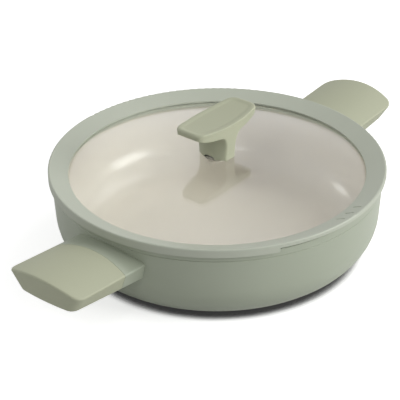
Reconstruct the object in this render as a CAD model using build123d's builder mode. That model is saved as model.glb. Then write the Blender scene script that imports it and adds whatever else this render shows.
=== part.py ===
"""Saute pan with two side handles and a domed glass lid in a straining silicone ring.

Millimetres. The origin is the middle of the base, +Z is up and the handles lie along X.
"""
import os
from math import atan2, cos, radians, sin, sqrt

from build123d import *

os.makedirs("parts", exist_ok=True)

# Pan shell: the wall is a cone whose line meets the base plane at wall_foot_radius
pan_height = 73.1
wall_foot_radius = 136.0
wall_lean = 4.4
wall_thickness = 3.2
floor_thickness = 5.0
base_corner_radius = 38.0
rim_band_height = 8.0
rim_band_step = 0.45
rim_round = 0.7

# Ceramic lining
lining_thickness = 0.4
lining_below_rim = 1.2

# Steel disc pressed into the base: a margin inside the base corner, an eye and rings of holes
disc_margin = 16.0
disc_thickness = 0.8
disc_recess = 1.0
disc_gap = 0.15
disc_eye_radius = 14.0
disc_hole_radius = 2.2
disc_ring_spacing = 18.0
disc_ring_counts = (12, 18, 24)

# Handle: lengths run outwards from a root inside the wall, heights are drops below the pan's rim
root_depth = 6.0
underside_drop = 34.6
underside_rise = 5.8
underside_root_half_width = 32.6
underside_end_half_width = 27.4
underside_length = 82.3
underside_bulge = 1.8
underside_corner_radius = 8.3
underside_round = 5.0
blank_drop = 7.1
blank_rise = 8.0
blank_root_half_width = 39.0
blank_end_half_width = 47.4
blank_overhang = 7.2
blank_bulge = 5.0
blank_corner_radius = 10.6
crown_drop = 10.5
crown_rise = 6.6
crown_radius = 86.0
crease_round = 1.6
neck_gap = 0.15

# Seam between neck and grip: an arc that bulges towards the pan
neck_length = 26.0
seam_radius = 250.0
seam_gap = 0.2

# Soft skin over the grip's core
skin_thickness = 2.2
bond_gap = 0.1

# Tongue welded to the wall
tongue_width = 24.0
tongue_thickness = 5.0
tongue_drop = 23.1
tongue_length = 51.0
tongue_gap = 0.2

# Handle screw and spring washer, from below
screw_from_tongue_end = 9.0
screw_radius = 2.5
screw_head_radius = 4.5
screw_head_height = 3.0
screw_seat_thickness = 4.0
screw_past_tongue = 3.0
screw_hole_gap = 0.3
thread_gap = 0.05
head_gap = 1.0
drive_width = 1.2
drive_length = 5.0
drive_depth = 1.6
washer_thickness = 1.0
washer_radius = 4.9

# Silicone ring: skirt outside the rim, flange on it and sealing wall inside it
skirt_gap = 0.4
skirt_thickness = 2.23
skirt_overlap = 3.0
flange_thickness = 4.6
ring_width = 17.0
ring_fall = 6.0
ring_round = 1.2
seal_gap = 0.45
lower_lip_step = 1.2
lower_lip_thickness = 2.6
lower_lip_chamfer = 1.2

# Straining side of the ring: skirt cut away, flange lifted, notches in the sealing wall, three dashes
strainer_azimuth = -90.0
strainer_half_angle = 31.0
strainer_lift = 0.6
skirt_corner_round = 1.6
notch_count = 15
notch_pitch_angle = 3.9
notch_width = 4.2
notch_depth = 2.0
dash_count = 3
dash_azimuth = -89.0
dash_pitch_angle = 5.1
dash_length = 8.0
dash_width = 1.3
dash_depth = 0.5
dash_direction = -78.0

# Domed glass
glass_bite = 6.0
glass_thickness = 4.0
glass_rise = 14.5
glass_below_lip = 1.4
glass_hole_radius = 6.6
glass_gap = 0.15

# Knob: a flat-ended stem with bowed wide sides, which flares into a plate with a dished top and a
# bellied underside. Heights are above the middle of the glass, lengths run along X, widths along Y
foot_width = 29.6
foot_end_length = 12.0
foot_middle_length = 22.0
waist_height = 12.0
waist_width = 30.8
waist_end_length = 11.8
waist_middle_length = 21.6
neck_height = 19.5
neck_width = 32.4
neck_end_length = 14.8
neck_middle_length = 24.6
neck_top_height = 23.8
neck_top_width = 33.4
neck_top_end_length = 22.0
neck_top_middle_length = 31.0
stem_round = 1.4
plate_height = 36.0
plate_thickness = 9.2
plate_length = 78.0
plate_end_width = 26.0
plate_middle_width = 36.0
plate_corner_radius = 7.5
plate_undercut = 1.0
plate_dish = 2.2
plate_belly = 6.0
plate_edge_round = 1.2
knob_gap = 0.15
knob_skin = 1.8

# Steam chamber and notch in the knob's foot
chamber_radius = 6.0
steam_notch_width = 10.4
steam_notch_height = 3.0

# Knob fixing: insert in the core, then gasket, plate and screw under the glass
insert_radius = 4.2
insert_length = 12.0
insert_height = 4.2
gasket_radius = 10.0
gasket_bore_radius = 6.8
gasket_thickness = 1.2
under_plate_radius = 8.2
under_plate_thickness = 1.0
vent_hole_radius = 1.0
vent_hole_place = 5.3
knob_screw_head_radius = 4.0
knob_screw_head_height = 2.4
seat_gap = 0.05

# How far cutting shapes run past what they cut
overrun = 4.0

# Worked out from the sizes above
rim_band_radius = wall_foot_radius + wall_lean * (pan_height - rim_band_height) / pan_height + rim_band_step
disc_radius = wall_foot_radius - base_corner_radius - disc_margin
root = wall_foot_radius - root_depth
underside_height = pan_height - underside_drop
blank_height = pan_height - blank_drop
blank_length = underside_length + blank_overhang
crown_height = pan_height - crown_drop
tongue_height = pan_height - tongue_drop
tongue_end = root + tongue_length
screw_place = tongue_end - screw_from_tongue_end
screw_seat_height = tongue_height - screw_seat_thickness
screw_top_height = tongue_height + tongue_thickness + screw_past_tongue
washer_bottom = screw_seat_height - washer_thickness
head_bottom = washer_bottom - screw_head_height
skirt_radius = rim_band_radius + skirt_gap
ring_radius = skirt_radius + skirt_thickness
ring_inner_radius = ring_radius - ring_width
ring_top = pan_height + flange_thickness
skirt_bottom = pan_height - skirt_overlap
strainer_top = pan_height + strainer_lift
glass_radius = ring_inner_radius + glass_bite
glass_edge_height = ring_top - ring_fall - glass_below_lip
glass_top = glass_edge_height + glass_rise
dome_radius = (ring_inner_radius**2 + glass_rise**2) / (2 * glass_rise)
dome_centre = glass_top - dome_radius


def wall_radius(height, inset):
    """Radius of the leaning wall's line at a height, moved inwards by inset."""
    return wall_foot_radius + wall_lean * height / pan_height - inset


def bowl(floor, inset, top):
    """Solid bowl filling: a leaning wall and a large rounded bottom corner."""
    with BuildPart() as form:
        with BuildSketch(Plane.XZ):
            with BuildLine():
                Polyline(
                    (0, floor),
                    (wall_radius(floor, inset), floor),
                    (wall_radius(top, inset), top),
                    (0, top),
                    close=True,
                )
            make_face()
            foot = vertices().group_by(Axis.Y)[0].sort_by(Axis.X)[-1]
            fillet(foot, radius=base_corner_radius - inset)
        revolve(axis=Axis.Z)
    return form.part


def dome_point(radius, depth):
    """Point of the dome's section at a radius, on the sphere that lies depth below its top face."""
    return (radius, dome_centre + sqrt((dome_radius - depth) ** 2 - radius**2))


def dome(inner, outer, depth_above, depth_below):
    """Spherical shell between two radii and two depths under the glass's top face."""
    middle = (inner + outer) / 2
    with BuildPart() as form:
        with BuildSketch(Plane.XZ):
            with BuildLine():
                upper = [dome_point(radius, depth_above) for radius in (inner, middle, outer)]
                lower = [dome_point(radius, depth_below) for radius in (outer, middle, inner)]
                ThreePointArc(*upper)
                Line(upper[-1], lower[0])
                ThreePointArc(*lower)
                Line(lower[-1], upper[0])
            make_face()
        revolve(axis=Axis.Z)
    return form.part


def rising_plane(height, rise):
    """Plane that passes through height at the handle's root and rises by rise along the handle."""
    slope = atan2(rise, underside_length)
    return Plane(
        origin=(root, 0, height),
        x_dir=(cos(slope), 0, sin(slope)),
        z_dir=(-sin(slope), 0, cos(slope)),
    )


def paddle_outline(root_half_width, end_half_width, length, bulge, corner_radius):
    """Plan outline of the paddle from its root to its bulging end, in the handle's own plane."""
    corner = length - bulge
    with BuildSketch() as outline:
        with BuildLine():
            Polyline(
                (corner, -end_half_width),
                (0, -root_half_width),
                (0, root_half_width),
                (corner, end_half_width),
            )
            ThreePointArc((corner, end_half_width), (length, 0), (corner, -end_half_width))
        make_face()
        fillet(vertices().sort_by(Axis.X)[-2:], radius=corner_radius)
    return outline.sketch


def paddle(inset, underside_fillet, crease_fillet):
    """Whole paddle, inset all round: lofted blank with its top rounded off by a long cylinder."""
    with BuildPart() as blank:
        with BuildSketch(rising_plane(underside_height + inset, underside_rise)):
            add(
                paddle_outline(
                    underside_root_half_width - inset,
                    underside_end_half_width - inset,
                    underside_length - inset,
                    underside_bulge,
                    underside_corner_radius - inset,
                )
            )
        with BuildSketch(rising_plane(blank_height, blank_rise)):
            add(
                paddle_outline(
                    blank_root_half_width - inset,
                    blank_end_half_width - inset,
                    blank_length - inset,
                    blank_bulge,
                    blank_corner_radius - inset,
                )
            )
        loft(ruled=True)
        slope = atan2(crown_rise, underside_length)
        axis_plane = Plane(
            origin=(
                root + crown_radius * sin(slope) - overrun * cos(slope),
                0,
                crown_height - crown_radius * cos(slope) - overrun * sin(slope),
            ),
            x_dir=(0, 1, 0),
            z_dir=(cos(slope), 0, sin(slope)),
        )
        with BuildSketch(axis_plane):
            Circle(crown_radius - inset)
        extrude(amount=blank_length + 2 * overrun, mode=Mode.INTERSECT)
        underside = blank.faces().sort_by(Axis.Z)[0]
        fillet(underside.edges().sort_by(Axis.X)[1:], radius=underside_fillet)
        top = blank.faces().sort_by(Axis.Z)[-1]
        fillet(top.edges().sort_by(Axis.X)[1:], radius=crease_fillet)
    return blank.part


def seam_cylinder(radius):
    """Upright cylinder whose near side is the seam between neck and grip."""
    with BuildPart() as cylinder:
        with BuildSketch(Plane.XY):
            with Locations((root + neck_length + seam_radius, 0)):
                Circle(radius)
        extrude(amount=2 * pan_height)
    return cylinder.part


def handle_slot(gap, end):
    """Space that the tongue takes in the handle, with gap on each face."""
    with BuildPart() as slot:
        with BuildSketch(Plane.XY.offset(tongue_height - gap)):
            with Locations(((root + end) / 2, 0)):
                Rectangle(end - root, tongue_width + 2 * gap)
        extrude(amount=tongue_thickness + 2 * gap)
    return slot.part


def upright(place, radius, bottom, top):
    """Upright round post or hole on the handle's middle line."""
    with BuildPart() as post:
        with BuildSketch(Plane.XY.offset(bottom)):
            with Locations((place, 0)):
                Circle(radius)
        extrude(amount=top - bottom)
    return post.part


def cross_drive(place, bottom, depth):
    """Cross-shaped driver recess cut upwards into a screw head."""
    with BuildPart() as recess:
        with BuildSketch(Plane.XY.offset(bottom)):
            with Locations((place, 0)):
                Rectangle(drive_length, drive_width)
                Rectangle(drive_width, drive_length)
        extrude(amount=depth)
    return recess.part


def bowed_outline(length, end_width, middle_width, corner_radius):
    """Plan outline with flat ends: its two long sides bow outwards and its corners are rounded."""
    with BuildSketch() as outline:
        with BuildLine():
            ThreePointArc((-length / 2, end_width / 2), (0, middle_width / 2), (length / 2, end_width / 2))
            Line((length / 2, end_width / 2), (length / 2, -end_width / 2))
            ThreePointArc((length / 2, -end_width / 2), (0, -middle_width / 2), (-length / 2, -end_width / 2))
            Line((-length / 2, -end_width / 2), (-length / 2, end_width / 2))
        make_face()
        fillet(vertices(), radius=corner_radius)
    return outline.sketch


def knob_form(inset):
    """Knob's stem and plate, inset all round: a stem lofted through its levels, and a dished plate."""
    dish_radius = ((plate_length / 2) ** 2 + plate_dish**2) / (2 * plate_dish)
    belly_radius = ((plate_length / 2) ** 2 + plate_belly**2) / (2 * plate_belly)
    plate_middle = plate_height - plate_dish
    plate_bottom = plate_middle - plate_thickness
    with BuildPart() as stem:
        for height, width, end_length, middle_length in (
            (-overrun, foot_width, foot_end_length, foot_middle_length),
            (0, foot_width, foot_end_length, foot_middle_length),
            (waist_height, waist_width, waist_end_length, waist_middle_length),
            (neck_height, neck_width, neck_end_length, neck_middle_length),
            (neck_top_height, neck_top_width, neck_top_end_length, neck_top_middle_length),
            (plate_middle - inset - knob_gap, neck_top_width, neck_top_end_length, neck_top_middle_length),
        ):
            with BuildSketch(Plane.XY.offset(glass_top + height)):
                add(
                    bowed_outline(
                        width - 2 * inset,
                        end_length - 2 * inset,
                        middle_length - 2 * inset,
                        stem_round / (1 + inset),
                    ),
                    rotation=90,
                )
        loft(ruled=True)
    with BuildPart() as plate:
        for height, undercut in ((plate_bottom - overrun, plate_undercut), (plate_height, 0)):
            with BuildSketch(Plane.XY.offset(glass_top + height)):
                add(
                    bowed_outline(
                        plate_length - 2 * undercut - 2 * inset,
                        plate_end_width - 2 * undercut - 2 * inset,
                        plate_middle_width - 2 * undercut - 2 * inset,
                        plate_corner_radius - inset,
                    )
                )
        loft(ruled=True)
        with BuildSketch(Plane.XZ.offset(-plate_middle_width)):
            with Locations((0, glass_top + plate_bottom + belly_radius)):
                Circle(belly_radius - inset)
            with Locations((0, glass_top + plate_middle + dish_radius)):
                Circle(dish_radius + inset, mode=Mode.SUBTRACT)
        extrude(amount=2 * plate_middle_width, mode=Mode.INTERSECT)
        wide_faces = faces().filter_by(GeomType.CYLINDER).sort_by(SortBy.AREA)[-2:]
        fillet(wide_faces.edges(), radius=plate_edge_round / (1 + inset))
    return stem.part, plate.part


# Pan body
with BuildPart() as pan_body:
    add(bowl(0, 0, pan_height - rim_band_height))
    with BuildSketch(Plane.XY.offset(pan_height - rim_band_height)):
        Circle(rim_band_radius)
    extrude(amount=rim_band_height)
    add(bowl(floor_thickness, wall_thickness, pan_height + overrun), mode=Mode.SUBTRACT)
    fillet(faces().sort_by(Axis.Z)[-1].edges(), radius=rim_round)
    with BuildSketch(Plane.XY):
        Circle(disc_radius + disc_gap)
    extrude(amount=disc_recess, mode=Mode.SUBTRACT)
pan_body.part.label = "pan_body"
export_step(pan_body.part, "parts/pan_body.step")

# Ceramic lining on the inside
with BuildPart() as nonstick_lining:
    add(bowl(floor_thickness, wall_thickness, pan_height - lining_below_rim))
    add(
        bowl(floor_thickness + lining_thickness, wall_thickness + lining_thickness, pan_height),
        mode=Mode.SUBTRACT,
    )
nonstick_lining.part.label = "nonstick_lining"
export_step(nonstick_lining.part, "parts/nonstick_lining.step")

# Steel disc in the base
with BuildPart() as induction_disc:
    with BuildSketch(Plane.XY.offset(disc_recess - disc_thickness)):
        Circle(disc_radius)
        Circle(disc_eye_radius, mode=Mode.SUBTRACT)
        for ring, count in enumerate(disc_ring_counts, start=1):
            with PolarLocations(disc_eye_radius + ring * disc_ring_spacing, count):
                Circle(disc_hole_radius, mode=Mode.SUBTRACT)
    extrude(amount=disc_thickness)
induction_disc.part.label = "induction_disc"
export_step(induction_disc.part, "parts/induction_disc.step")

# Handle pieces, made once along +X and turned to each side
outer_wall = bowl(0, -neck_gap, pan_height)
paddle_full = paddle(0, underside_round, crease_round)
paddle_core = paddle(skin_thickness, underside_round - skin_thickness, crease_round / 2)
core_space = paddle(skin_thickness - bond_gap, underside_round - skin_thickness + bond_gap, crease_round / 2)
counterbore_radius = screw_head_radius + head_gap
counterbore = upright(screw_place, counterbore_radius, underside_height - overrun, screw_seat_height)
screw_hole_radius = screw_radius + screw_hole_gap

with BuildPart() as tongue_form:
    add(handle_slot(0, tongue_end))
    add(bowl(0, 0, pan_height), mode=Mode.SUBTRACT)
    add(
        upright(screw_place, screw_radius + thread_gap, tongue_height - overrun, tongue_height + 2 * overrun),
        mode=Mode.SUBTRACT,
    )

with BuildPart() as neck_form:
    add(paddle_full)
    add(outer_wall, mode=Mode.SUBTRACT)
    add(seam_cylinder(seam_radius + seam_gap), mode=Mode.SUBTRACT)
    add(handle_slot(tongue_gap, tongue_end), mode=Mode.SUBTRACT)

with BuildPart() as core_form:
    add(paddle_core)
    add(seam_cylinder(seam_radius), mode=Mode.INTERSECT)
    add(handle_slot(tongue_gap, tongue_end + tongue_gap), mode=Mode.SUBTRACT)
    add(counterbore, mode=Mode.SUBTRACT)
    add(
        upright(
            screw_place,
            screw_hole_radius,
            screw_seat_height - overrun,
            screw_top_height + screw_hole_gap,
        ),
        mode=Mode.SUBTRACT,
    )

with BuildPart() as grip_form:
    add(paddle_full)
    add(seam_cylinder(seam_radius), mode=Mode.INTERSECT)
    add(core_space, mode=Mode.SUBTRACT)
    add(counterbore, mode=Mode.SUBTRACT)

with BuildPart() as screw_form:
    add(upright(screw_place, screw_head_radius, head_bottom, washer_bottom))
    add(upright(screw_place, screw_radius, washer_bottom, screw_top_height))
    add(cross_drive(screw_place, head_bottom, drive_depth), mode=Mode.SUBTRACT)

with BuildPart() as washer_form:
    add(upright(screw_place, washer_radius, washer_bottom, screw_seat_height))
    add(upright(screw_place, screw_hole_radius, washer_bottom, screw_seat_height), mode=Mode.SUBTRACT)

handle_forms = (
    ("handle_tongue", tongue_form.part),
    ("handle_neck", neck_form.part),
    ("handle_core", core_form.part),
    ("handle_grip", grip_form.part),
    ("handle_screw", screw_form.part),
    ("handle_washer", washer_form.part),
)
for side, turn in (("left", 180.0), ("right", 0.0)):
    for form_name, form in handle_forms:
        with BuildPart() as handle_piece:
            add(form.rotate(Axis.Z, turn))
        handle_piece.part.label = f"{side}_{form_name}"
        export_step(handle_piece.part, f"parts/{side}_{form_name}.step")

# Glass dome
with BuildPart() as lid_glass:
    add(dome(glass_hole_radius, glass_radius, 0, glass_thickness))
lid_glass.part.label = "lid_glass"
export_step(lid_glass.part, "parts/lid_glass.step")

# Silicone ring
ring_bottom = dome_point(glass_radius, glass_thickness)[1] - lower_lip_thickness
seal_radius = wall_radius(ring_bottom, wall_thickness) - lining_thickness - seal_gap
lower_lip_radius = ring_inner_radius + lower_lip_step
groove_middle = glass_edge_height - glass_thickness / 2
strainer_start = radians(strainer_azimuth - strainer_half_angle)
with BuildPart() as lid_ring:
    with BuildSketch(Plane.XZ):
        with BuildLine():
            Polyline(
                (ring_inner_radius, ring_top - ring_fall),
                (ring_radius, ring_top),
                (ring_radius, skirt_bottom),
                (skirt_radius, skirt_bottom),
                (skirt_radius, pan_height),
                (seal_radius, pan_height),
                (seal_radius, ring_bottom),
                (lower_lip_radius + lower_lip_chamfer, ring_bottom),
                (lower_lip_radius, ring_bottom + lower_lip_chamfer),
                (lower_lip_radius, groove_middle),
                (ring_inner_radius, groove_middle),
                close=True,
            )
        make_face()
        fillet(vertices().group_by(Axis.Y)[-1], radius=ring_round)
    revolve(axis=Axis.Z)
    add(
        dome(ring_inner_radius - overrun, glass_radius + glass_gap, -glass_gap, glass_thickness + glass_gap),
        mode=Mode.SUBTRACT,
    )
    strainer_plane = Plane(
        origin=(0, 0, 0),
        x_dir=(cos(strainer_start), sin(strainer_start), 0),
        z_dir=(sin(strainer_start), -cos(strainer_start), 0),
    )
    with BuildSketch(strainer_plane):
        with Locations(((seal_radius + ring_radius + overrun) / 2, strainer_top - overrun)):
            Rectangle(ring_radius + overrun - seal_radius, 2 * overrun)
    revolve(axis=Axis.Z, revolution_arc=2 * strainer_half_angle, mode=Mode.SUBTRACT)
    for notch in range(notch_count):
        azimuth = strainer_azimuth + (notch - (notch_count - 1) / 2) * notch_pitch_angle
        with BuildSketch(Plane.XY.offset(ring_bottom - overrun).rotated((0, 0, azimuth))):
            with Locations((seal_radius, 0)):
                Rectangle(2 * notch_depth, notch_width)
        extrude(amount=strainer_top - ring_bottom + overrun, mode=Mode.SUBTRACT)
    for dash in range(dash_count):
        azimuth = radians(dash_azimuth + (dash - (dash_count - 1) / 2) * dash_pitch_angle)
        dash_radius = ring_radius - ring_width / 2
        dash_plane = Plane(
            origin=(dash_radius * cos(azimuth), dash_radius * sin(azimuth), ring_top - ring_fall / 2),
            x_dir=(cos(radians(dash_direction)), sin(radians(dash_direction)), 0),
            z_dir=(-ring_fall * cos(azimuth), -ring_fall * sin(azimuth), ring_width),
        )
        with BuildSketch(dash_plane.offset(-dash_depth)):
            SlotOverall(dash_length, dash_width)
        extrude(amount=overrun, mode=Mode.SUBTRACT)
    skirt_floor = edges().filter_by(lambda edge: abs(edge.center().Z - skirt_bottom) < seat_gap)
    fillet(skirt_floor.filter_by(GeomType.LINE), radius=skirt_corner_round)
lid_ring.part.label = "lid_ring"
export_step(lid_ring.part, "parts/lid_ring.step")

# Knob pieces
stem_skin, plate_skin = knob_form(0)
stem_core, plate_core = knob_form(knob_skin)
stem_space, plate_space = knob_form(knob_skin - bond_gap)
glass_and_below = dome(0, plate_length, -knob_gap, dome_radius / 2)

with BuildPart() as steam_notch:
    with BuildSketch(Plane.YZ.offset(-foot_middle_length)):
        with Locations((0, glass_top)):
            SlotOverall(steam_notch_width, 2 * steam_notch_height)
    extrude(amount=foot_middle_length - chamber_radius / 2)

with BuildPart() as insert_space:
    with BuildSketch(Plane.XY.offset(glass_top + insert_height)):
        Circle(insert_radius + bond_gap)
    extrude(amount=insert_length + bond_gap)
    with BuildSketch(Plane.XY.offset(glass_top - overrun)):
        Circle(chamber_radius)
    extrude(amount=insert_height + overrun)

with BuildPart() as knob_core:
    add(stem_core)
    add(plate_core)
    add(glass_and_below, mode=Mode.SUBTRACT)
    add(insert_space.part, mode=Mode.SUBTRACT)
    add(steam_notch.part, mode=Mode.SUBTRACT)
knob_core.part.label = "knob_core"
export_step(knob_core.part, "parts/knob_core.step")

with BuildPart() as knob_grip:
    add(stem_skin)
    add(plate_skin)
    add(glass_and_below, mode=Mode.SUBTRACT)
    add(stem_space, mode=Mode.SUBTRACT)
    add(plate_space, mode=Mode.SUBTRACT)
    add(steam_notch.part, mode=Mode.SUBTRACT)
knob_grip.part.label = "knob_grip"
export_step(knob_grip.part, "parts/knob_grip.step")

with BuildPart() as knob_insert:
    with BuildSketch(Plane.XY.offset(glass_top + insert_height)):
        Circle(insert_radius)
        Circle(screw_radius + thread_gap, mode=Mode.SUBTRACT)
    extrude(amount=insert_length)
knob_insert.part.label = "knob_insert"
export_step(knob_insert.part, "parts/knob_insert.step")

# Gasket, plate and screw under the glass
gasket_bottom = dome_point(gasket_radius, glass_thickness)[1] - seat_gap - gasket_thickness
under_plate_bottom = gasket_bottom - under_plate_thickness
knob_screw_bottom = under_plate_bottom - knob_screw_head_height
with BuildPart() as knob_gasket:
    with BuildSketch(Plane.XY.offset(gasket_bottom)):
        Circle(gasket_radius)
        Circle(gasket_bore_radius, mode=Mode.SUBTRACT)
    extrude(amount=gasket_thickness)
knob_gasket.part.label = "knob_gasket"
export_step(knob_gasket.part, "parts/knob_gasket.step")

with BuildPart() as knob_plate:
    with BuildSketch(Plane.XY.offset(under_plate_bottom)):
        Circle(under_plate_radius)
        Circle(screw_radius + thread_gap, mode=Mode.SUBTRACT)
        with Locations((-vent_hole_place, 0)):
            Circle(vent_hole_radius, mode=Mode.SUBTRACT)
    extrude(amount=under_plate_thickness)
knob_plate.part.label = "knob_plate"
export_step(knob_plate.part, "parts/knob_plate.step")

with BuildPart() as knob_screw:
    add(upright(0, knob_screw_head_radius, knob_screw_bottom, under_plate_bottom))
    add(upright(0, screw_radius, under_plate_bottom, glass_top + insert_height + insert_length))
    add(cross_drive(0, knob_screw_bottom, drive_depth), mode=Mode.SUBTRACT)
knob_screw.part.label = "knob_screw"
export_step(knob_screw.part, "parts/knob_screw.step")
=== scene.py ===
"""Saute pan with two side handles and a domed glass lid in a straining silicone ring.

The sections follow the object as it is put together: the studio first, then the pan from its
cast body outwards to the handles, then the lid from its glass to the knob and its fixing.
Metres, with the origin in the middle of the base, +Z up and the handles along X.
"""

import bpy
import numpy as np
from mathutils import Matrix, Vector


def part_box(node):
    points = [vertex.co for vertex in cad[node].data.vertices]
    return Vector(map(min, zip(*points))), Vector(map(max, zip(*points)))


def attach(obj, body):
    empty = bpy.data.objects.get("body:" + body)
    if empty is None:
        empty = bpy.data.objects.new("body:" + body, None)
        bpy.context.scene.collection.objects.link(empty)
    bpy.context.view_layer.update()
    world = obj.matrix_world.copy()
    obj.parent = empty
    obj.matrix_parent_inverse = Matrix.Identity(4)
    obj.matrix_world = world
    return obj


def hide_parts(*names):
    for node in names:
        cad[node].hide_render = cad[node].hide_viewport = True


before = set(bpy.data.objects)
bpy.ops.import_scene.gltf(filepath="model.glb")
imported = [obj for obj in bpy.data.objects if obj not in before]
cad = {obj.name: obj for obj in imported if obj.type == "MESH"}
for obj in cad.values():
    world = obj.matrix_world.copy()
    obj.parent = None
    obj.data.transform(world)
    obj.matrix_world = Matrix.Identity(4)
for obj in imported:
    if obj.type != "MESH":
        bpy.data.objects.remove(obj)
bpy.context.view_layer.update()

# ---------------------------------------------------------------------------------------------
# Studio: a camera at the photograph's angle, a pale sweep of floor, a white surround that fills
# the shadows, and softboxes, which are also what the glossy lining and the glass reflect.


def linear(hex_colour):
    """sRGB hex colour as linear RGBA, by the sRGB curve's straight and power parts."""
    srgb = np.array([int(hex_colour[i : i + 2], 16) for i in (1, 3, 5)]) / 255
    straight = srgb / 12.92
    curved = ((srgb + 0.055) / 1.055) ** 2.4
    return (*np.where(srgb <= 0.04045, straight, curved), 1.0)


def node(tree, kind, inputs=None, **settings):
    """Adds a node, sets its properties, then sets each named input or links a socket to it."""
    made = tree.nodes.new(kind)
    for setting, value in settings.items():
        setattr(made, setting, value)
    for socket, value in (inputs or {}).items():
        if isinstance(value, bpy.types.NodeSocket):
            tree.links.new(value, made.inputs[socket])
        else:
            made.inputs[socket].default_value = value
    return made


scene = bpy.context.scene
scene.view_settings.view_transform = "Standard"

camera_place = Vector((-0.92444, -0.74859, 0.72584))
camera_right = Vector((0.63452, -0.77284, -0.00979))
camera_up = Vector((0.39157, 0.31052, 0.86617))
camera_data = bpy.data.cameras.new("photo_camera")
camera_data.lens = 144
camera_data.sensor_width = 36
camera_data.clip_end = 50
camera = bpy.data.objects.new("photo_camera", camera_data)
camera_turn = Matrix((camera_right, camera_up, camera_right.cross(camera_up))).transposed()
camera.matrix_world = Matrix.Translation(camera_place) @ camera_turn.to_4x4()
scene.collection.objects.link(camera)
scene.camera = camera


def seen_white(tree):
    """1 for rays from the camera and from mirrors and glass, 0 for rays that carry light."""
    path = node(tree, "ShaderNodeLightPath")
    glossy = node(
        tree,
        "ShaderNodeMath",
        {0: path.outputs["Is Camera Ray"], 1: path.outputs["Is Glossy Ray"]},
        operation="MAXIMUM",
    )
    return node(
        tree,
        "ShaderNodeMath",
        {0: glossy.outputs[0], 1: path.outputs["Is Transmission Ray"]},
        operation="MAXIMUM",
    ).outputs[0]


surround_light = 0.37
surround = bpy.data.worlds.new("white_surround")
surround.use_nodes = True
tree = surround.node_tree
tree.nodes.clear()
strength = node(
    tree,
    "ShaderNodeMapRange",
    {"Value": seen_white(tree), "To Min": surround_light, "To Max": 1.0},
)
background = node(
    tree, "ShaderNodeBackground", {"Color": (1, 1, 1, 1), "Strength": strength.outputs[0]}
)
node(tree, "ShaderNodeOutputWorld", {"Surface": background.outputs[0]})
scene.world = surround

floor_half = 12.0
floor_mesh = bpy.data.meshes.new("studio_floor")
floor_mesh.from_pydata(
    [(x, y, 0) for x, y in ((-1, -1), (1, -1), (1, 1), (-1, 1))], [], [(0, 1, 2, 3)]
)
floor_mesh.transform(Matrix.Scale(floor_half, 4))
floor = bpy.data.objects.new("studio_floor", floor_mesh)
scene.collection.objects.link(floor)
sweep = bpy.data.materials.new("matt_white_sweep")
sweep.use_nodes = True
tree = sweep.node_tree
tree.nodes.clear()
# The sweep's colour is darkened under the pan's edge, a painted contact shadow: less than
# full_shadow of the view within shadow_reach left open is the darkest shade, and more than
# no_shadow is plain white
shadow_reach = 0.018
full_shadow, no_shadow = 0.25, 0.42
darkest_shade = 0.05
painted_contact_shadow = node(tree, "ShaderNodeAmbientOcclusion", {"Distance": shadow_reach}, samples=24)
open_share = node(
    tree,
    "ShaderNodeMapRange",
    {
        "Value": painted_contact_shadow.outputs["AO"],
        "From Min": full_shadow,
        "From Max": no_shadow,
        "To Min": darkest_shade,
    },
)
# What the camera sees is part glow and part lit paper; other rays meet plain paper, which is
# whiter for mirrors and glass than for the light that it throws back on the pan
seen_glow = 0.62
seen_paper = 0.8
bounce_paper = 0.6
path = node(tree, "ShaderNodeLightPath")
glow = node(
    tree,
    "ShaderNodeMapRange",
    {"Value": open_share.outputs[0], "To Min": 0.0, "To Max": seen_glow},
)
camera_glow = node(
    tree,
    "ShaderNodeMapRange",
    {"Value": path.outputs["Is Camera Ray"], "To Min": 0.0, "To Max": glow.outputs[0]},
)
seen_shade = node(
    tree,
    "ShaderNodeMapRange",
    {"Value": open_share.outputs[0], "To Min": 0.0, "To Max": seen_paper},
)
mirrored = node(
    tree,
    "ShaderNodeMapRange",
    {"Value": seen_white(tree), "To Min": bounce_paper, "To Max": 1.0},
)
shade = node(
    tree,
    "ShaderNodeMapRange",
    {
        "Value": path.outputs["Is Camera Ray"],
        "To Min": mirrored.outputs[0],
        "To Max": seen_shade.outputs[0],
    },
)
diffuse = node(tree, "ShaderNodeBsdfDiffuse", {"Color": shade.outputs[0]})
backlight = node(tree, "ShaderNodeEmission", {"Strength": camera_glow.outputs[0]})
paper = node(tree, "ShaderNodeAddShader", {0: diffuse.outputs[0], 1: backlight.outputs[0]})
# From below the sweep is clear, so that the pan's underside can be looked at
facing = node(tree, "ShaderNodeNewGeometry")
clear = node(tree, "ShaderNodeBsdfTransparent")
one_sided = node(
    tree,
    "ShaderNodeMixShader",
    {0: facing.outputs["Backfacing"], 1: paper.outputs[0], 2: clear.outputs[0]},
)
node(tree, "ShaderNodeOutputMaterial", {"Surface": one_sided.outputs[0]})
floor_mesh.materials.append(sweep)

# name, azimuth and elevation in degrees, distance, width, height in metres, radiance
for name, azimuth, elevation, distance, width, height, radiance in (
    ("softbox_key", -68, 24, 2.4, 1.2, 0.9, 10.9),
    ("softbox_behind", -5, 52, 2.4, 0.9, 0.9, 3.4),
    ("softbox_left", 120, 30, 2.4, 1.2, 0.9, 1.0),
    ("softbox_left_glint", 97, 30, 2.4, 0.45, 0.4, 7.0),
    ("softbox_above_camera", -160, 43, 2.4, 0.3, 0.3, 14.0),
):
    lamp = bpy.data.lights.new(name, "AREA")
    lamp.shape = "RECTANGLE"
    lamp.size, lamp.size_y = width, height
    lamp.energy = np.pi * radiance * width * height
    softbox = bpy.data.objects.new(name, lamp)
    turn, tilt = np.radians((azimuth, elevation))
    place = Vector((np.cos(turn) * np.cos(tilt), np.sin(turn) * np.cos(tilt), np.sin(tilt)))
    softbox.location = place * distance
    softbox.rotation_euler = place.to_track_quat("Z", "Y").to_euler()
    scene.collection.objects.link(softbox)

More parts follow.
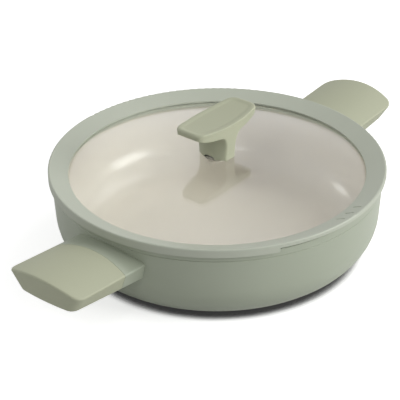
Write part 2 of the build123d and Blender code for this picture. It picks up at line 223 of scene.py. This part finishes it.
# ---------------------------------------------------------------------------------------------
# Pan body: a cast aluminium bowl with a leaning wall and a large bottom corner, turned true and
# sprayed outside with matt sage enamel. Its rim carries an 8 mm band with a crease below it and a
# groove near its top, and the base has a shallow seat for the steel disc.


def eased(corners, radii, steps=8):
    """Profile through corners (n, ..., 2), with each inner corner rounded by its own radius.

    An arc leaves the sides at radius / tan(half the corner's angle) from the corner. It is the
    rational quadratic curve with the corner as its middle point, weighted by the sine of that half
    angle, which is an exact circle arc. One more point close to either end keeps the flats flat.
    """
    corners = np.asarray(corners, float)
    corner = corners[1:-1]
    radii = np.broadcast_to(np.reshape(radii, (-1,) + (1,) * (corners.ndim - 2)), corner.shape[:-1])
    before, after = corners[:-2] - corner, corners[2:] - corner
    before = before / np.linalg.norm(before, axis=-1, keepdims=True)
    after = after / np.linalg.norm(after, axis=-1, keepdims=True)
    half = np.arccos((before * after).sum(-1, keepdims=True)) / 2
    reach = radii[..., None] / np.tan(half)
    along = np.linspace(0, 1, steps + 1).reshape((-1,) + (1,) * corner.ndim)
    weight = 2 * np.sin(half) * along * (1 - along)
    start, end = corner + before * reach, corner + after * reach
    arc = (1 - along) ** 2 * start + weight * corner + along**2 * end
    arc = arc / ((1 - along) ** 2 + weight + along**2)
    past_arc = 1.15
    lead = corner + before * reach * past_arc
    trail = corner + after * reach * past_arc
    rounded = np.moveaxis(np.concatenate([lead[None], arc, trail[None]]), 0, 1)
    return np.concatenate([corners[:1], rounded.reshape((-1,) + corner.shape[1:]), corners[-1:]])


def turned(profile, columns=288):
    """Grid of a profile of radius and height (rows, 2), swept once round the upright axis."""
    turn = np.linspace(0, 2 * np.pi, columns, endpoint=False)
    radius, height = profile[:, :1], profile[:, 1:]
    ring = np.broadcast_arrays(radius * np.cos(turn), radius * np.sin(turn), height)
    return np.stack(ring, axis=-1)


def shaped(name, points, body, finish, slot, *replaced, looped=False):
    """Closed piece over a grid of points, whose columns run round it and rows run along it.

    Neighbouring points are joined by quads, points that fall together (a pole, a seam) become
    one, and the faces are turned outwards by the sign of the volume that they enclose.
    """
    rows, columns = points.shape[:2]
    spot = np.arange(rows * columns).reshape(rows, columns)
    spot = np.hstack([spot, spot[:, :1]])
    if looped:
        spot = np.vstack([spot, spot[:1]])
    quads = np.stack([spot[:-1, :-1], spot[:-1, 1:], spot[1:, 1:], spot[1:, :-1]], axis=-1)
    flat = points.reshape(-1, 3)
    _, first, same = np.unique(np.round(flat, 8), axis=0, return_index=True, return_inverse=True)
    vertices = flat[first]
    quads = same.reshape(-1)[quads.reshape(-1, 4)]
    a, b, c, d = np.moveaxis(vertices[quads], 1, 0)
    if (np.cross(a, b) * c).sum() + (np.cross(a, c) * d).sum() < 0:
        quads = quads[:, ::-1]
    faces = [list(dict.fromkeys(quad)) for quad in quads.tolist()]
    mesh = bpy.data.meshes.new(name)
    mesh.from_pydata(vertices.tolist(), [], [face for face in faces if len(face) > 2])
    mesh.shade_smooth()
    mesh.materials.append(finish)
    piece = bpy.data.objects.new(name, mesh)
    scene.collection.objects.link(piece)
    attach(piece, body)
    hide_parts(*replaced)
    return piece


def matt_finish(name, dark, light, roughness, grain, relief, drift_size=0.07):
    """Matt coat or moulding: two close shades that drift slowly over drift_size, and a fine grain
    that varies the roughness and lifts the surface by relief."""
    finish = bpy.data.materials.new(name)
    finish.use_nodes = True
    tree = finish.node_tree
    tree.nodes.clear()
    place = node(tree, "ShaderNodeTexCoord").outputs["Object"]
    drift = node(
        tree, "ShaderNodeTexNoise", {"Vector": place, "Scale": 1 / drift_size, "Detail": 3.0}
    )
    shade = node(
        tree,
        "ShaderNodeMix",
        {0: drift.outputs["Fac"], 6: linear(dark), 7: linear(light)},
        data_type="RGBA",
    )
    speck = node(tree, "ShaderNodeTexNoise", {"Vector": place, "Scale": 1 / grain, "Detail": 4.0})
    spread = 0.05
    polish = node(
        tree,
        "ShaderNodeMapRange",
        {
            "Value": speck.outputs["Fac"],
            "To Min": roughness - spread,
            "To Max": roughness + spread,
        },
    )
    bump = node(
        tree,
        "ShaderNodeBump",
        {"Height": speck.outputs["Fac"], "Distance": relief, "Strength": 1.0},
    )
    surface = node(
        tree,
        "ShaderNodeBsdfPrincipled",
        {
            "Base Color": shade.outputs[2],
            "Roughness": polish.outputs[0],
            "Normal": bump.outputs[0],
        },
    )
    node(tree, "ShaderNodeOutputMaterial", {"Surface": surface.outputs[0]})
    return finish


# The enamel is matt with a soft broad sheen, and its slight orange peel breaks up that sheen
sage_enamel = matt_finish("sprayed_sage_enamel", "#A3AA98", "#AAB19F", 0.38, 0.0015, 0.00001)

rim_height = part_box("pan_body")[1][2]
wall_foot_radius = 0.136
wall_lean = 0.0044
wall_thickness = 0.0032
floor_thickness = 0.005
base_corner = 0.038
band_height = 0.008
band_step = 0.00045
crease_depth = 0.0005
crease_height = 0.0004
rim_round = 0.0005
crisp = 0.0001
band_root_round = 0.0002
groove_bottom = rim_height - 0.0018
groove_top = rim_height - 0.0008
groove_depth = 0.0012
seat_radius = 0.08215
seat_depth = 0.001


def wall_radius(height, inset=0.0):
    """Radius of the leaning wall at a height, moved inwards by inset."""
    return wall_foot_radius + wall_lean * height / rim_height - inset


band_bottom = rim_height - band_height
band_radius = wall_radius(band_bottom) + band_step
body_profile = eased(
    [
        (0, seat_depth),
        (seat_radius, seat_depth),
        (seat_radius, 0),
        (wall_radius(0), 0),
        (wall_radius(band_bottom), band_bottom - 2 * crease_height),
        (wall_radius(band_bottom, crease_depth), band_bottom - crease_height),
        (wall_radius(band_bottom, crease_depth), band_bottom),
        (band_radius, band_bottom + crease_height),
        (band_radius, groove_bottom),
        (band_radius - groove_depth, groove_bottom),
        (band_radius - groove_depth, groove_top),
        (band_radius, groove_top),
        (band_radius, rim_height),
        (wall_radius(rim_height, wall_thickness), rim_height),
        (wall_radius(floor_thickness, wall_thickness), floor_thickness),
        (0, floor_thickness),
    ],
    (
        crisp,
        crisp,
        base_corner,
        crisp,
        crisp,
        crisp,
        band_root_round,
        crisp,
        crisp,
        crisp,
        crisp,
        rim_round,
        rim_round,
        base_corner - wall_thickness,
    ),
    steps=12,
)
shaped("pan_shell", turned(body_profile), "pan", sage_enamel, "pan_paint", "pan_body")

# ---------------------------------------------------------------------------------------------
# Lining: cream ceramic, sprayed and fired on the inside up to just below the rim.

# The fired ceramic is glossy, with a faint speckle and a slow ripple that softens reflections
cream_ceramic = matt_finish("cream_ceramic_lining", "#DCD4C6", "#E0D9CC", 0.22, 0.002, 0.00001)

coat = 0.0004
coat_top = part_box("nonstick_lining")[1][2]
coat_floor = floor_thickness + coat
lining_profile = eased(
    [
        (0, coat_floor),
        (wall_radius(coat_floor, wall_thickness + coat), coat_floor),
        (wall_radius(coat_top, wall_thickness + coat), coat_top),
        (wall_radius(coat_top, wall_thickness), coat_top),
        (wall_radius(floor_thickness, wall_thickness), floor_thickness),
        (0, floor_thickness),
    ],
    (
        base_corner - wall_thickness - coat,
        coat / 4,
        coat / 4,
        base_corner - wall_thickness,
    ),
    steps=16,
)
shaped(
    "ceramic_coat",
    turned(lining_profile),
    "pan",
    cream_ceramic,
    "ceramic_lining",
    "nonstick_lining",
)

# ---------------------------------------------------------------------------------------------
# Steel disc: a perforated magnetic disc pressed into the base, so that the pan works on
# induction. Its face is turned, which leaves fine rings.


def metal_finish(name, dark, light, roughness, grain, relief, stretch=(1.0, 1.0, 1.0)):
    """Bare metal: two close shades, and a grain of streaks, each stretched along the axes by
    stretch, that varies the roughness and scratches the surface by relief."""
    finish = bpy.data.materials.new(name)
    finish.use_nodes = True
    tree = finish.node_tree
    tree.nodes.clear()
    place = node(tree, "ShaderNodeTexCoord").outputs["Object"]
    drawn = node(
        tree,
        "ShaderNodeVectorMath",
        {0: place, 1: tuple(1 / length for length in stretch)},
        operation="MULTIPLY",
    )
    streak = node(
        tree,
        "ShaderNodeTexNoise",
        {"Vector": drawn.outputs[0], "Scale": 1 / grain, "Detail": 5.0},
    )
    patches_per_metre = 60.0
    tarnish = node(
        tree, "ShaderNodeTexNoise", {"Vector": place, "Scale": patches_per_metre, "Detail": 2.0}
    )
    shade = node(
        tree,
        "ShaderNodeMix",
        {0: tarnish.outputs["Fac"], 6: linear(dark), 7: linear(light)},
        data_type="RGBA",
    )
    spread = 0.08
    polish = node(
        tree,
        "ShaderNodeMapRange",
        {
            "Value": streak.outputs["Fac"],
            "To Min": roughness - spread,
            "To Max": roughness + spread,
        },
    )
    bump = node(
        tree,
        "ShaderNodeBump",
        {"Height": streak.outputs["Fac"], "Distance": relief, "Strength": 1.0},
    )
    surface = node(
        tree,
        "ShaderNodeBsdfPrincipled",
        {
            "Base Color": shade.outputs[2],
            "Metallic": 1.0,
            "Roughness": polish.outputs[0],
            "Normal": bump.outputs[0],
        },
    )
    node(tree, "ShaderNodeOutputMaterial", {"Surface": surface.outputs[0]})
    return finish


def dress(finish, *names):
    """Gives CAD nodes, whose own shape is right, a finish in place of their plain one."""
    for name in names:
        cad[name].data.materials[0] = finish


# Turned steel is grey with a soft glint, from a fine grain that is even in every direction
turned_steel = metal_finish("turned_magnetic_steel", "#8E8F90", "#A3A4A6", 0.38, 0.0006, 0.000008)
dress(turned_steel, "induction_disc")

# ---------------------------------------------------------------------------------------------
# Tongues: cast aluminium bars on the wall, one in each handle, which carry the load.

# Cast aluminium is a pale dull grey, with the fine even grain that the die leaves
cast_aluminium = metal_finish("cast_aluminium_tongue", "#9A9B9E", "#ACADB0", 0.45, 0.0005, 0.00001)
dress(cast_aluminium, "left_handle_tongue", "right_handle_tongue")

# ---------------------------------------------------------------------------------------------
# Handle necks: metal collars against the wall, sprayed with the pan in the same sage enamel.
dress(sage_enamel, "left_handle_neck", "right_handle_neck")

# ---------------------------------------------------------------------------------------------
# Handle cores: stiff moulded phenolic round the tongue, hidden by the soft grip.

# Phenolic is dull and dark, with a coarse grain where its filler reaches the surface
moulded_phenolic = matt_finish("moulded_phenolic_core", "#242622", "#2B2D29", 0.6, 0.0008, 0.00002)
dress(moulded_phenolic, "left_handle_core", "right_handle_core", "knob_core")

# ---------------------------------------------------------------------------------------------
# Handle grips: soft-touch elastomer moulded over the cores in a warm sage.

# Soft-touch skin is matt all over and hardly glints, with a fine even tooth
soft_touch = matt_finish("soft_touch_grip", "#ABAE95", "#B1B49B", 0.55, 0.0005, 0.00002)
dress(soft_touch, "left_handle_grip", "right_handle_grip")

# ---------------------------------------------------------------------------------------------
# Handle screws and washers: zinc-plated steel, driven up from below through each tongue.

# Zinc plating is bright and slightly blue, with a fine even grain
zinc_plate = metal_finish("zinc_plated_steel", "#B4B7BC", "#C8CBD0", 0.28, 0.0003, 0.000004)
dress(
    zinc_plate,
    "left_handle_screw",
    "right_handle_screw",
    "left_handle_washer",
    "right_handle_washer",
)

# ---------------------------------------------------------------------------------------------
# Lid glass: a tempered dome 4 mm thick with a hole in its middle and pencil-ground edges.

# Lamp light passes straight through, which a refracting pane would hold back from the inside
tempered_glass = bpy.data.materials.new("tempered_glass")
tempered_glass.use_nodes = True
tree = tempered_glass.node_tree
tree.nodes.clear()
pane = node(
    tree,
    "ShaderNodeBsdfPrincipled",
    {"Roughness": 0.0, "IOR": 1.58, "Transmission Weight": 1.0},
)
lamp_light = node(tree, "ShaderNodeBsdfTransparent", {"Color": linear("#F4F7F4")})
path = node(tree, "ShaderNodeLightPath")
surface = node(
    tree,
    "ShaderNodeMixShader",
    {0: path.outputs["Is Shadow Ray"], 1: pane.outputs[0], 2: lamp_light.outputs[0]},
)
node(tree, "ShaderNodeOutputMaterial", {"Surface": surface.outputs[0]})

glass_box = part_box("lid_glass")
glass_top = glass_box[1][2]
glass_radius = glass_box[1][0]
glass_hole = 0.0066
glass_thickness = 0.004
dome_radius = 0.55468
dome_centre = glass_top + glass_hole**2 / (2 * dome_radius) - dome_radius

edge_turn = np.linspace(0, np.pi, 13)
edge_round = glass_thickness / 2
inner_angle = np.arcsin((glass_hole + edge_round) / dome_radius)
outer_angle = np.arcsin((glass_radius - edge_round) / dome_radius)
across = np.linspace(inner_angle, outer_angle, 72)
section_angle = np.concatenate(
    [
        across[:-1],
        outer_angle + edge_round * np.sin(edge_turn) / dome_radius,
        across[::-1][1:-1],
        inner_angle - edge_round * np.sin(edge_turn) / dome_radius,
    ]
)
section_depth = np.concatenate(
    [
        np.zeros(across.size - 1),
        edge_round - edge_round * np.cos(edge_turn),
        np.full(across.size - 2, glass_thickness),
        edge_round + edge_round * np.cos(edge_turn),
    ]
)
section_reach = dome_radius - section_depth
section_radius = section_reach * np.sin(section_angle)
section_height = dome_centre + section_reach * np.cos(section_angle)
glass_profile = np.stack([section_radius, section_height], axis=-1)
shaped(
    "glass_dome",
    turned(glass_profile),
    "lid",
    tempered_glass,
    "clear_glass",
    "lid_glass",
    looped=True,
)

# ---------------------------------------------------------------------------------------------
# Lid ring: sage silicone moulded round the glass, with a skirt over the pan's rim. On one side the
# skirt is cut away and the sealing wall is notched, and three dashes on top mark where to pour.

# Moulded silicone is satin and a little greener than the grips, with a very fine tooth
sage_silicone = matt_finish("sage_silicone", "#B3B8A9", "#B9BEAF", 0.45, 0.0006, 0.00001)
dress(sage_silicone, "lid_ring")

# ---------------------------------------------------------------------------------------------
# Knob: a stiff core with a soft-touch skin. A narrow stem with bowed wide sides flares into a
# plate whose top is dished inside a rolled lip, and a slot in its foot lets the steam out.

plate_half_length = 0.039
plate_half_width = 0.018
plate_bow = 0.005
plate_corner = 0.0075
plate_top = 0.036
plate_dish = 0.0022
plate_undercut = 0.0010
plate_edge = 0.0009
plate_end_edge = 0.0024
belly_tip = 0.0309
lip_width = 0.0028
dish_sink = 0.0006


def plate_side(along):
    """Half width of the plate at a place along it: a bowed side that ends in a round corner.

    The corner's circle touches the end and the side, whose lean there follows from its bow.
    """
    centre = plate_half_length - plate_corner
    lean = np.arctan(2 * plate_bow * centre / plate_half_length**2)
    touch = centre + plate_corner * np.sin(lean)
    side = plate_half_width - plate_bow * (along / plate_half_length) ** 2
    touch_side = plate_half_width - plate_bow * (touch / plate_half_length) ** 2
    inside = np.maximum(plate_corner**2 - np.maximum(np.abs(along) - centre, 0) ** 2, 0)
    corner = touch_side - plate_corner * np.cos(lean) + np.sqrt(inside)
    return np.where(np.abs(along) < touch, side, corner)


def knob_outlines(half_length, narrowing, end_bow, ridge):
    """Level outlines (rows, columns, 2) of the knob, from one size per row of each kind.

    The long sides follow the plate's side, narrowed, the ends bow out by end_bow in a parabola,
    and a quadratic curve over a length of ridge rounds off the corner between them. The second
    half of each outline is the first half turned by half a turn.
    """
    half_length, narrowing, end_bow, ridge = (
        np.reshape(size, (-1, 1)) for size in (half_length, narrowing, end_bow, ridge)
    )
    side_x = (half_length - ridge) * np.sin(np.linspace(1, -1, 65) * np.pi / 2)
    side = np.stack([side_x, plate_side(side_x) - narrowing], axis=-1)
    end_half = plate_side(half_length) - narrowing
    end_y = (end_half - ridge) * np.linspace(1, -1, 73)
    end = np.stack([-half_length - end_bow * (1 - (end_y / end_half) ** 2), end_y], axis=-1)
    corner = np.stack([-half_length, end_half], axis=-1)
    along = np.linspace(0, 1, 8)[1:-1, None]
    start, middle = (1 - along) ** 2 * side[:, -1:], 2 * along * (1 - along) * corner
    turn = start + middle + along**2 * end[:, :1]
    half_round = np.concatenate([side, turn, end, turn[:, ::-1] * (1, -1)], axis=1)
    return np.concatenate([half_round, -half_round], axis=1)


# Levels under the plate: height above the foot, half length at the ridges, narrowing of the sides,
# bow of the wide sides and length of the rounded ridge
stem_levels = np.array(
    [
        (0.0304, 0.0380, 0.0004, 0.0000, 0.0001),
        (0.0298, 0.0370, 0.0005, 0.0000, 0.0006),
        (0.0284, 0.0334, 0.0006, 0.0000, 0.0012),
        (0.0271, 0.0285, 0.0007, 0.0002, 0.0013),
        (0.0261, 0.0232, 0.0008, 0.0006, 0.0013),
        (0.0253, 0.0180, 0.0009, 0.0012, 0.0013),
        (0.0246, 0.0142, 0.0010, 0.0020, 0.0013),
        (0.0237, 0.0114, 0.0011, 0.0030, 0.0013),
        (0.0224, 0.0094, 0.0012, 0.0038, 0.0013),
        (0.0206, 0.0079, 0.0014, 0.0044, 0.0013),
        (0.0182, 0.0068, 0.0017, 0.0048, 0.0013),
        (0.0152, 0.0061, 0.0020, 0.0050, 0.0013),
        (0.0118, 0.0058, 0.0024, 0.0050, 0.0013),
        (0.0080, 0.0058, 0.0027, 0.0050, 0.0013),
        (0.0050, 0.0059, 0.0030, 0.0050, 0.0013),
    ]
)
# The foot keeps one outline: half length, narrowing, bow and ridge as above
foot_sizes = (0.0060, 0.0032, 0.0050, 0.0013)
foot_gap = 0.00015
slot_half_width = 0.0052
slot_height = 0.0030
slot_back = 0.0062
slot_skin = 0.0006
chamber_radius = 0.006
chamber_height = 0.0042

# Top of the plate, from the middle outwards: growing copies of the dish's outline, then insets
dish_inset = 0.006
inset = np.array([5.4, 4.8, 4.3, 3.8, 3.2, 2.4, 1.6, 1.0, 0.6, 0.3, 0.1, 0.0]) / 1000
hair_ridge = 0.0001
rim_outline = knob_outlines((plate_half_length,), (0.0,), (0.0,), (hair_ridge,))
growth = np.linspace(0, 1, 9)[:, None, None]
shrink = 1 - np.stack([inset / plate_half_length, inset / plate_half_width], axis=-1)[:, None]
dish_shrink = 1 - dish_inset / np.array([plate_half_length, plate_half_width])
top_outlines = np.concatenate([rim_outline * dish_shrink * growth, rim_outline * shrink])
inset = np.concatenate([np.full(growth.size, dish_inset), inset])[:, None]
slope = np.clip((inset - lip_width) / (dish_inset - lip_width), 0, 1)
sink = dish_sink * slope**2 * (3 - 2 * slope)
end_zone = 0.2
along = np.abs(top_outlines[..., 0]) / plate_half_length
end_share = np.clip((along - (1 - end_zone)) / end_zone, 0, 1)
lip_round = plate_edge + (plate_end_edge - plate_edge) * end_share**2 * (3 - 2 * end_share)
fall = lip_round - np.sqrt(lip_round**2 - np.maximum(lip_round - inset, 0) ** 2)
arch = plate_dish * (1 - (top_outlines[..., 0] / plate_half_length) ** 2)
top_heights = plate_top - arch - sink - fall

# Side band, from the lip's edge down to the level where the belly begins
share = np.linspace(0, 1, 6)[1:]
end_draft = 0.0004
band_outlines = knob_outlines(
    plate_half_length - end_draft * share,
    plate_undercut / 2 * share,
    0 * share,
    hair_ridge + 0 * share,
)
band_heights = top_heights[-1] + (belly_tip - top_heights[-1]) * share[:, None]

# Belly and stem, then the foot, whose lowest row lies just above the glass
foot_levels = np.array([3.8, 3.4, 3.15, 3.0, 2.85, 2.6, 2.2, 1.7, 1.2, 0.6]) / 1000
foot_rows = np.column_stack([foot_levels, np.tile(foot_sizes, (foot_levels.size, 1))])
levels = np.concatenate([stem_levels, foot_rows, [(0, *foot_sizes)]])
stem_outlines = knob_outlines(*levels[:, 1:].T)
stem_heights = np.broadcast_to(levels[:, :1], stem_outlines.shape[:2]).copy()
reach = np.hypot(*np.moveaxis(stem_outlines[-1], -1, 0))
stem_heights[-1] = foot_gap - reach**2 / (2 * dome_radius)
slot_edge = slot_height * np.sqrt(np.clip(1 - (stem_outlines[..., 1] / slot_half_width) ** 2, 0, 1))
in_slot = (stem_outlines[..., 0] < -foot_sizes[0]) & (stem_heights < slot_edge)
stem_outlines[..., 0] = np.where(in_slot, -slot_back, stem_outlines[..., 0])

# Steam chamber in the foot, closed by its ceiling
bearing = np.arctan2(stem_outlines[-1, :, 1], stem_outlines[-1, :, 0])
chamber = chamber_radius * np.stack([np.cos(bearing), np.sin(bearing)], axis=-1)
chamber_outlines = np.stack([chamber, chamber, 0 * chamber])
chamber_heights = np.stack(
    [
        foot_gap - chamber_radius**2 / (2 * dome_radius) + 0 * bearing,
        chamber_height + 0 * bearing,
        chamber_height + 0 * bearing,
    ]
)
knob_outline = np.concatenate([top_outlines, band_outlines, stem_outlines, chamber_outlines])
knob_height = np.concatenate([top_heights, band_heights, stem_heights, chamber_heights]) + glass_top
knob_points = np.concatenate([knob_outline, knob_height[..., None]], axis=-1)
knob_skin = shaped("knob_skin", knob_points, "lid", soft_touch, "soft_grip", "knob_grip")

# The slot's faces take the dark core's finish: the core showing through, and painted niche shade
knob_skin.data.materials.append(moulded_phenolic)
centres = np.empty(3 * len(knob_skin.data.polygons))
knob_skin.data.polygons.foreach_get("center", centres)
along, across, height = centres.reshape(-1, 3).T
slot_core_and_shade = (along > -foot_sizes[0] - foot_sizes[2] + slot_skin) & (height < glass_top + slot_height)
slot_core_and_shade = slot_core_and_shade & (np.abs(across) < slot_half_width) & (along < chamber_radius)
knob_skin.data.polygons.foreach_set("material_index", slot_core_and_shade.astype(int))

# ---------------------------------------------------------------------------------------------
# Knob fixing: a brass insert moulded into the core, and below the glass a silicone washer, a
# stainless plate with a vent hole, and the screw that pulls them together.

# Machined brass is bright yellow with fine rings, seen only when the knob is off
machined_brass = metal_finish("machined_brass", "#B08D4E", "#C2A062", 0.25, 0.0003, 0.000005)
dress(machined_brass, "knob_insert")

# Washer silicone is translucent cream, which hides it under the foot
cream_silicone = matt_finish("cream_silicone_washer", "#D2CBBE", "#DAD4C8", 0.4, 0.0006, 0.00001)
dress(cream_silicone, "knob_gasket")

# Stainless plate is brushed one way, which draws its glints out into lines
brushed_stainless = metal_finish(
    "brushed_stainless_plate", "#A9AAAC", "#BDBEC0", 0.3, 0.0003, 0.000005, stretch=(14.0, 1.0, 1.0)
)
dress(brushed_stainless, "knob_plate")

# The knob's screw is zinc-plated like the screws of the handles
dress(zinc_plate, "knob_screw")
